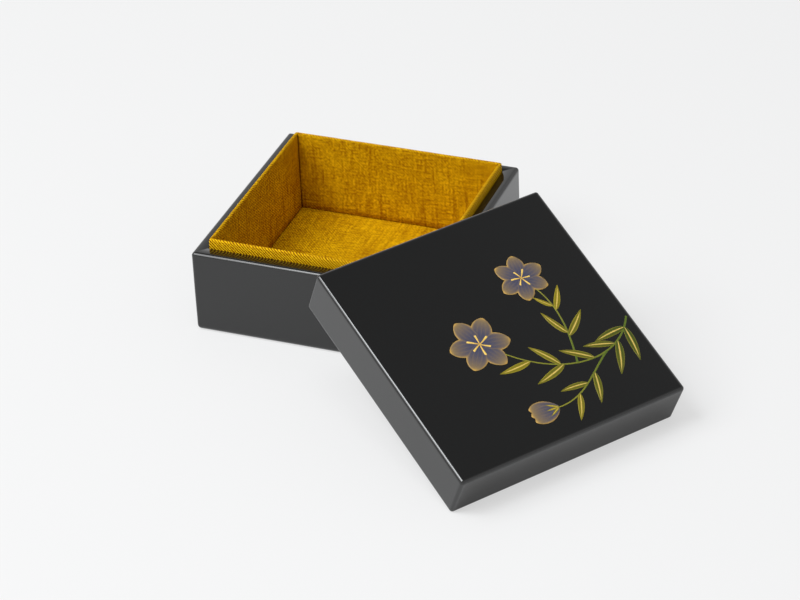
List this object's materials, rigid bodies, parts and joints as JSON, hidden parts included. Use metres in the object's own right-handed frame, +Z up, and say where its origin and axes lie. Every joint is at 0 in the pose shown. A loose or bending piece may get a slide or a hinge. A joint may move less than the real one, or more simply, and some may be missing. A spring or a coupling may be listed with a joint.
{
  "type": "lacquer box",
  "caption": "Square black lacquer box with a loose lid and a silk-covered lining that stands above the rim and seats the lid.",
  "frame": {"origin": "centre of the body's underside, on the table", "axes": "+Z up, +X to the right along the front face, +Y from the front face to the back face"},
  "size_m": [0.2191, 0.2071, 0.0646],
  "materials": {
    "black_lacquer": "polished black lacquer over wood",
    "lining_card": "pressed card",
    "gold_silk": "slubbed woven silk"
  },
  "bodies": {
    "box": {"box_bottom": "black_lacquer", "box_front_wall": "black_lacquer", "box_right_wall": "black_lacquer", "box_back_wall": "black_lacquer", "box_left_wall": "black_lacquer", "lining_front_card": "lining_card", "lining_right_card": "lining_card", "lining_back_card": "lining_card", "lining_left_card": "lining_card", "lining_floor_card": "lining_card", "lining_front_silk": "gold_silk", "lining_right_silk": "gold_silk", "lining_back_silk": "gold_silk", "lining_left_silk": "gold_silk", "lining_floor_silk": "gold_silk"},
    "lid": {"lid_top_panel": "black_lacquer", "lid_front_wall": "black_lacquer", "lid_right_wall": "black_lacquer", "lid_back_wall": "black_lacquer", "lid_left_wall": "black_lacquer"}
  },
  "joints": [
    {"name": "lid_lift", "type": "slide", "parent": "box", "child": "lid", "axis": [0, 0, 1], "range_m": [0, 0.06]}
  ]
}
